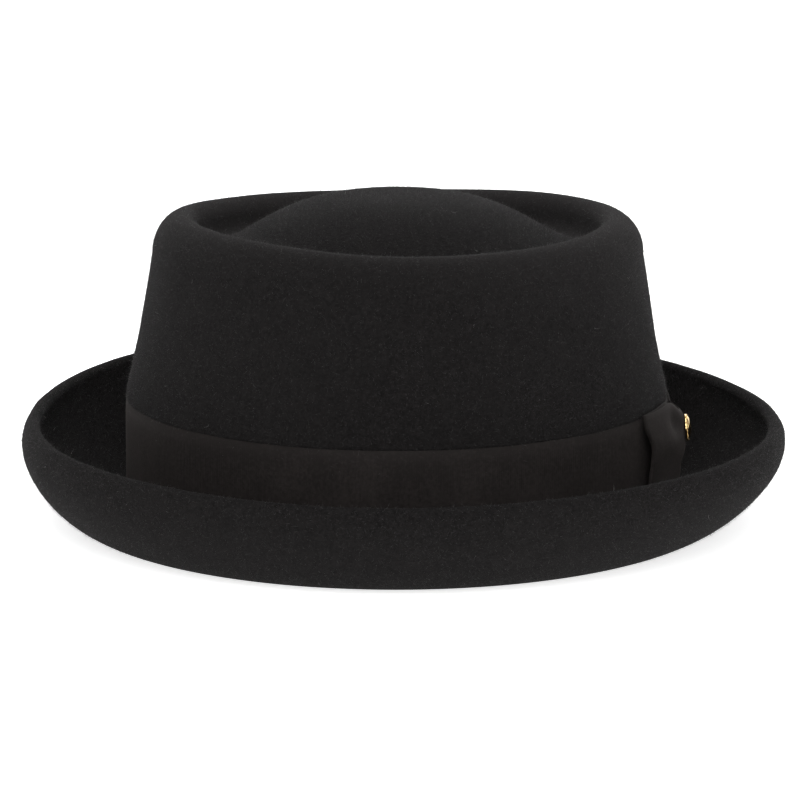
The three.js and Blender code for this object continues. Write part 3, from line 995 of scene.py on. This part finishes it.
def band_top(ribbon, angles):
    return band_low.z + ribbon.width + ribbon.dip * (np.cos(2 * angles) - 1)


def ribbon_edge(ribbon):
    """How far the round of a ribbon's edge stands past its face."""
    return ribbon.thickness / 3


def wall_rings(middle, normal, ribbon):
    """Rings of a ribbon's closed wall from its middle surface: out, over the edge, in and under."""
    out = middle + normal * ribbon.thickness / 2
    inner = middle - normal * ribbon.thickness / 2
    edge_up = np.array([0, 0, ribbon_edge(ribbon)])
    top = middle[-1:] + edge_up
    foot = middle[:1] - edge_up
    return np.concatenate([out, top, inner[::-1], foot])


def face_values(rows, columns, around_length):
    """Run and face for the points of such a wall: the distance along the ribbon, and 1 off its edges."""
    run = np.tile(np.arange(columns) * around_length / columns, (2 * rows + 2, 1))
    face = np.ones((2 * rows + 2, columns))
    for edge in (0, rows - 1, rows, rows + 1, 2 * rows, 2 * rows + 1):
        face[edge] = 0.0
    return run, face


def ribbed(name, rings, rows, around_length, pitch, ribbon, material):
    """The ribbon wall over those rings with its ribs raised."""
    mesh = skin(name, rings, looped=True)
    run, face = face_values(rows, rings.shape[1], around_length)
    point_values(mesh, "run", run)
    point_values(mesh, "face", face)
    return grown(name, mesh, ribs_tree(), Pitch=pitch, Height=ribbon.rib_height, Material=material)


def band_mesh(felt, ribbon, material):
    """The band, and its length once round the crown."""
    length = TURN * ((felt.half_width + felt.half_length) / 2 + RIBBON + CLEARANCE)
    ribs = round(length / ribbon.rib_pitch)
    angles = full_turn(ribs * COLUMNS_PER_RIB)
    edge = ribbon_edge(ribbon)
    low = band_low.z + edge
    high = band_top(ribbon, angles) - edge
    stations = []
    for t in np.linspace(0, 1, BAND_ROWS):
        height = low + (high - low) * t
        out = CLEARANCE + ribbon.thickness / 2 - taper_at(felt, angles, height)
        stations.append(beside(felt, angles, out, height, lean_at(felt, height)))
    across = (np.cos(angles) / felt.half_width, np.sin(angles) / felt.half_length, 0 * angles)
    normal = np.stack(across, axis=1)
    normal /= np.linalg.norm(normal, axis=1)[:, None]
    rings = wall_rings(points_of(stations, angles), normal, ribbon)
    return ribbed("hat_band_ribbon", rings, BAND_ROWS, length, length / ribs, ribbon, material), length


def beside_bow(felt, bow, along, out, height):
    """A point of the bow from its place along the band, how far out it lies and its height."""
    angles = bow.angle + along / (felt.half_length + CLEARANCE + RIBBON)
    x = (felt.half_width + out) * np.cos(angles) + HEAD_MIDDLE.x
    y = (felt.half_length + out) * np.sin(angles) + HEAD_MIDDLE.y
    return np.stack([x, y, np.broadcast_to(height, np.shape(x))], axis=-1)


def pressed(along, height):
    """How far the forms beside the pin move the bow's face out."""
    moved = np.zeros_like(along)
    for form in BOW_FORMS:
        a = (along - form["along"] * MM) / (form["half_length"] * MM)
        b = (height - form["height"] * MM) / (form["half_height"] * MM)
        moved += form["out"] * MM * np.exp(-a**2 - b**2)
    return moved


def bow_line(bow, ribbon, level, height, columns):
    """The closed line of the loop at one level, as places along the band and out from the crown wall."""
    inner_face = CLEARANCE + ribbon.thickness * (1 + BOW_GAP + 0.5)
    straight = 1 - bow.fold / bow.half_length
    across = np.linspace(-straight, straight, LOOP_POINTS)
    reach = np.where(across < 0, bow_level("front", level), bow_level("back", level)) * bow.half_length
    along = across * reach
    bent = np.clip(across / bow.rear_bend, 0, 1)
    flat_rear = bow.rear_flatness * bent**2 * (3 - 2 * bent)
    flat_front = bow.front_flatness * np.clip(-across, 0, 1)**2
    pinch = bow.pinch * bow_level("pinch", level) * np.exp(-(along / bow.pinch_half_length)**2)
    beside_pin = bow_level("full", level) * np.exp(-(along / bow.cinch_half_length)**2)
    lean = 1 - (1 - bow_level("stand", level)) * (1 - beside_pin)
    outer = bow.stand * lean * (1 - flat_rear - flat_front) - ribbon.thickness / 2 - pinch
    outer = np.maximum(outer + pressed(along, height), inner_face + 2 * bow.fold)
    room = outer - inner_face - 2 * bow.fold
    inner = inner_face + room * bow_level("lift", level) * np.abs(across)**bow.lift_power
    arc = np.linspace(0, HALF_TURN, FOLD_POINTS)[1:-1]

    def fold(end, side):
        centre = (outer[end] + inner[end]) / 2
        half = (outer[end] - inner[end]) / 2
        return along[end] + side * half * np.sin(arc), centre + half * np.cos(arc)

    back_along, back_out = fold(-1, 1)
    front_along, front_out = fold(0, -1)
    line_along = np.concatenate([along, back_along, along[::-1], front_along[::-1]])
    line_out = np.concatenate([outer, back_out, inner[::-1], front_out[::-1]])
    step = np.hypot(np.diff(line_along, append=line_along[0]), np.diff(line_out, append=line_out[0]))
    passed = np.concatenate([[0], np.cumsum(step)])
    at = np.linspace(0, passed[-1], columns, endpoint=False)
    line_along = np.interp(at, passed, np.append(line_along, line_along[0]))
    line_out = np.interp(at, passed, np.append(line_out, line_out[0]))
    return line_along, line_out, passed[-1]


def gathered(bow, along, height):
    """The height of a point after the gathers at the pin have drawn it in."""
    length = np.where(along > 0, bow.rear_cinch_length, bow.cinch_half_length)
    drawn = 1 - bow.cinch * np.exp(-(along / length)**2)
    return bow.cinch_height + (height - bow.cinch_height) * drawn


def bow_mesh(felt, bow, ribbon, material):
    """The bow, and its length once round its loop."""
    ribs = round(4 * bow.half_length / ribbon.rib_pitch)
    columns = ribs * COLUMNS_PER_RIB
    foot = band_low.z + CLEARANCE
    middle = []
    normal = []
    for level in np.linspace(0, 1, BOW_ROWS):
        height = foot + bow.height * level
        along, out, length = bow_line(bow, ribbon, level, height, columns)
        points = beside_bow(felt, bow, along, out, gathered(bow, along, height))
        way = np.roll(points, -1, axis=0) - np.roll(points, 1, axis=0)
        square = np.stack([way[:, 1], -way[:, 0], 0 * way[:, 0]], axis=1)
        normal.append(square / np.linalg.norm(square, axis=1)[:, None])
        middle.append(points)
    rings = wall_rings(np.array(middle), np.array(normal), ribbon)
    return ribbed("bow_ribbon", rings, BOW_ROWS, length, length / ribs, ribbon, material), length


def pin_frame(felt, bow, pin):
    """The pin's place: its own Z axis points straight out of the bow's middle."""
    seat = beside_bow(felt, bow, np.array(0.0), bow.stand - bow.pinch, pin.height)
    out = Vector((math.cos(bow.angle) / felt.half_width, math.sin(bow.angle) / felt.half_length, 0))
    facing = out.normalized().to_track_quat("Z", "Y")
    upright = Matrix.Translation(Vector(seat)) @ facing.to_matrix().to_4x4()
    return upright @ Matrix.Rotation(-pin.tilt, 4, "X")


def pin_mesh(pin):
    """A plate with a beaded shoulder and a domed face, on a short post."""
    post = RIBBON + 3 * CLEARANCE
    bevel = pin.plate / 3
    dome = pin.radius - pin.shoulder
    dome_foot = dome + 0.12 * MM
    line = [
        (pin.post_radius, -post),
        (pin.post_radius, 0),
        (pin.radius - bevel / 2, 0),
        (pin.radius, bevel / 2),
    ]
    for a in quarter_turn(BEVEL_POINTS - 1):
        line.append((pin.radius - bevel * (1 - math.cos(a)), pin.plate - bevel * (1 - math.sin(a))))
    line.append((dome_foot, pin.plate))
    for a in quarter_turn(FACE_POINTS - 1)[:-1]:
        line.append((dome * math.cos(a), pin.plate + pin.dome * math.sin(a)))
    angles = full_turn(PIN_SIDES)
    rings = [np.stack([r * np.cos(angles), r * np.sin(angles), 0 * angles + z], axis=1) for r, z in line]
    ends = [np.tile((0.0, 0.0, z), (PIN_SIDES, 1)) for z in (-post, pin.plate + pin.dome)]
    return skin("pin_body", [ends[0], *rings, ends[1]], looped=False)


# Operators

class HAT_OT_felt(bpy.types.Operator):
    """Build the crown and brim"""
    bl_idname = "hat.felt"
    bl_label = "Crown and brim"

    def execute(self, context):
        scene = context.scene
        material = felt_material(scene.hat_finish, scene.hat_felt)
        piece = shown("felt_shell", felt_mesh(scene.hat_felt), material)
        finished(piece, "felt", "felt_body")
        return {"FINISHED"}


class HAT_OT_nap(bpy.types.Operator):
    """Grow the nap, the stray hairs and the lint on the felt"""
    bl_idname = "hat.nap"
    bl_label = "Nap"

    def execute(self, context):
        scene = context.scene
        felt = bpy.data.objects["felt_shell"].data
        nap = scene.hat_nap
        area = sum(p.area for p in felt.polygons) * NAP_SHARE
        tree = fibres_tree()
        wool = nap_material("wool_fibre", scene.hat_finish.nap)
        fuzz = nap_material("wool_fuzz", scene.hat_finish.fuzz)
        pale = nap_material("pale_lint", scene.hat_finish.lint)
        spike = spike_mesh(nap.nap_length, nap.nap_thickness)
        long_spike = spike_mesh(nap.fuzz_length, nap.fuzz_thickness)
        hair = hair_mesh(nap.hair_length, nap.hair_thickness)
        short_hair = hair_mesh(nap.hair_length * LINT_LENGTH, nap.hair_thickness * LINT_THICKNESS)
        # Each row: name, shape, how many, shortest as a share of the longest, most lean in degrees, material
        kinds = (
            ("felt_nap", spike, nap.nap_count, 0.35, 75, wool),
            ("felt_fuzz", long_spike, nap.fuzz_count, 0.3, 62, fuzz),
            ("felt_hairs", hair, nap.hair_count, 0.3, 80, wool),
            ("felt_lint", short_hair, nap.lint_count, 0.2, 88, pale),
        )
        for offset, (name, shape, number, shortest, lean, material) in enumerate(kinds):
            fibre = shown(name + "_fibre", shape)
            mesh = grown(name, felt.copy(), tree, Fibre=fibre, Density=number / area, Shortest=shortest,
                         Lean=math.radians(lean), Seed=nap.seed + 10 * offset, Material=material)
            bpy.data.objects.remove(fibre)
            finished(shown(name, mesh, material), "felt")
        return {"FINISHED"}


class HAT_OT_band(bpy.types.Operator):
    """Build the ribbon round the crown"""
    bl_idname = "hat.band"
    bl_label = "Band"

    def execute(self, context):
        scene = context.scene
        ribbon = scene.hat_ribbon
        material = ribbon_material(scene.hat_finish, ribbon)
        mesh, length = band_mesh(scene.hat_felt, ribbon, material)
        piece = shown("hat_band_ribbon", mesh, material)
        finished(piece, "ribbon", "hat_band")
        return {"FINISHED"}


class HAT_OT_bow(bpy.types.Operator):
    """Build the flat bow on the wearer's left"""
    bl_idname = "hat.bow"
    bl_label = "Bow"

    def execute(self, context):
        scene = context.scene
        material = bpy.data.materials["black_grosgrain"]
        mesh, length = bow_mesh(scene.hat_felt, scene.hat_bow, scene.hat_ribbon, material)
        piece = shown("bow_ribbon", mesh, material)
        finished(piece, "ribbon", "bow_loop")
        return {"FINISHED"}


class HAT_OT_pin(bpy.types.Operator):
    """Build the domed pin on the bow"""
    bl_idname = "hat.pin"
    bl_label = "Pin"

    def execute(self, context):
        scene = context.scene
        pin = scene.hat_pin
        gold = gold_material(scene.hat_finish)
        place = pin_frame(scene.hat_felt, scene.hat_bow, pin)
        body = pin_mesh(pin)
        ring = pin.radius - pin.shoulder / 2
        beads = grown("pin_beads", bpy.data.meshes.new("beads"), beads_tree(), Ring=ring,
                      Bead=pin.bead_radius, Beads=pin.beads, Material=gold)
        beads.transform(Matrix.Translation((0, 0, pin.plate + pin.bead_radius * 0.3)))
        for mesh in (body, beads):
            mesh.transform(place)
        finished(shown("pin_body", body, gold), "pin_metal", "pin")
        finished(shown("pin_beads", beads, gold), "pin_metal")
        return {"FINISHED"}


class HAT_OT_stage(bpy.types.Operator):
    """Set the floor, the light and the camera"""
    bl_idname = "hat.stage"
    bl_label = "Stage"

    def execute(self, context):
        scene = context.scene
        stage = scene.hat_stage
        shown("floor", floor_mesh(), floor_material(scene.hat_finish, stage.glow))
        light_all_round(scene, stage.sky)
        aim = Vector(stage.aim) + Vector((HEAD_MIDDLE.x, HEAD_MIDDLE.y, 0))
        back = Vector((0, -math.cos(stage.elevation), math.sin(stage.elevation)))
        for light in LIGHTS:
            soft_light(light, aim)
        camera = bpy.data.objects.new("camera", bpy.data.cameras.new("camera"))
        scene.collection.objects.link(camera)
        camera.data.sensor_width = SENSOR_WIDTH
        camera.data.lens = stage.lens
        camera.data.clip_end = CLIP_END
        camera.location = aim + back * stage.distance
        camera.rotation_euler = back.to_track_quat("Z", "Y").to_euler()
        scene.camera = camera
        scene.view_settings.view_transform = "Standard"
        return {"FINISHED"}


def floor_mesh():
    """A level floor that curves up far behind the hat."""
    half = 3.0
    bend = 0.8
    level_end = 2.0
    top = 3.0
    line = [(-half, 0.0), (level_end, 0.0)]
    for a in quarter_turn(12)[1:]:
        line.append((level_end + bend * math.sin(a), bend * (1 - math.cos(a))))
    line.append((level_end + bend, top))
    points = [(x, y, z) for y, z in line for x in (-half, half)]
    faces = [(2 * k, 2 * k + 1, 2 * k + 3, 2 * k + 2) for k in range(len(line) - 1)]
    mesh = plain_mesh("floor", points, faces)
    shade_smooth(mesh)
    return mesh


def light_all_round(scene, strength):
    world = bpy.data.worlds.new("even_light")
    world.use_nodes = True
    world.node_tree.nodes["Background"].inputs["Color"].default_value = (1, 1, 1, 1)
    world.node_tree.nodes["Background"].inputs["Strength"].default_value = strength
    scene.world = world


def soft_light(light, aim):
    lamp = bpy.data.lights.new(light["name"], "AREA")
    lamp.shape = "RECTANGLE"
    lamp.size = light["width"]
    lamp.size_y = light["height"]
    lamp.energy = light["power"]
    thing = bpy.data.objects.new(light["name"], lamp)
    bpy.context.scene.collection.objects.link(thing)
    thing.location = aim + Vector(light["place"])
    thing.rotation_euler = Vector(light["place"]).to_track_quat("Z", "Y").to_euler()


OPERATORS = (HAT_OT_felt, HAT_OT_nap, HAT_OT_band, HAT_OT_bow, HAT_OT_pin, HAT_OT_stage)


class HAT_PT_panel(bpy.types.Panel):
    """Lists the hat's operators and sizes"""
    bl_idname = "HAT_PT_panel"
    bl_label = "Porkpie hat"
    bl_space_type = "VIEW_3D"
    bl_region_type = "UI"
    bl_category = "Hat"

    def draw(self, context):
        for operator in OPERATORS:
            self.layout.operator(operator.bl_idname)
        for name, group in GROUPS.items():
            box = self.layout.box()
            box.label(text=group.__doc__)
            for key in group.__annotations__:
                box.prop(getattr(context.scene, name), key)


CLASSES = (*GROUPS.values(), *OPERATORS, HAT_PT_panel)


def register():
    for item in CLASSES:
        bpy.utils.register_class(item)
    for name, group in GROUPS.items():
        setattr(bpy.types.Scene, name, bpy.props.PointerProperty(type=group))


def unregister():
    for name in GROUPS:
        delattr(bpy.types.Scene, name)
    for item in reversed(CLASSES):
        bpy.utils.unregister_class(item)


def main():
    register()
    for operator in OPERATORS:
        group, name = operator.bl_idname.split(".")
        getattr(getattr(bpy.ops, group), name)()


if __name__ == "__main__":
    main()
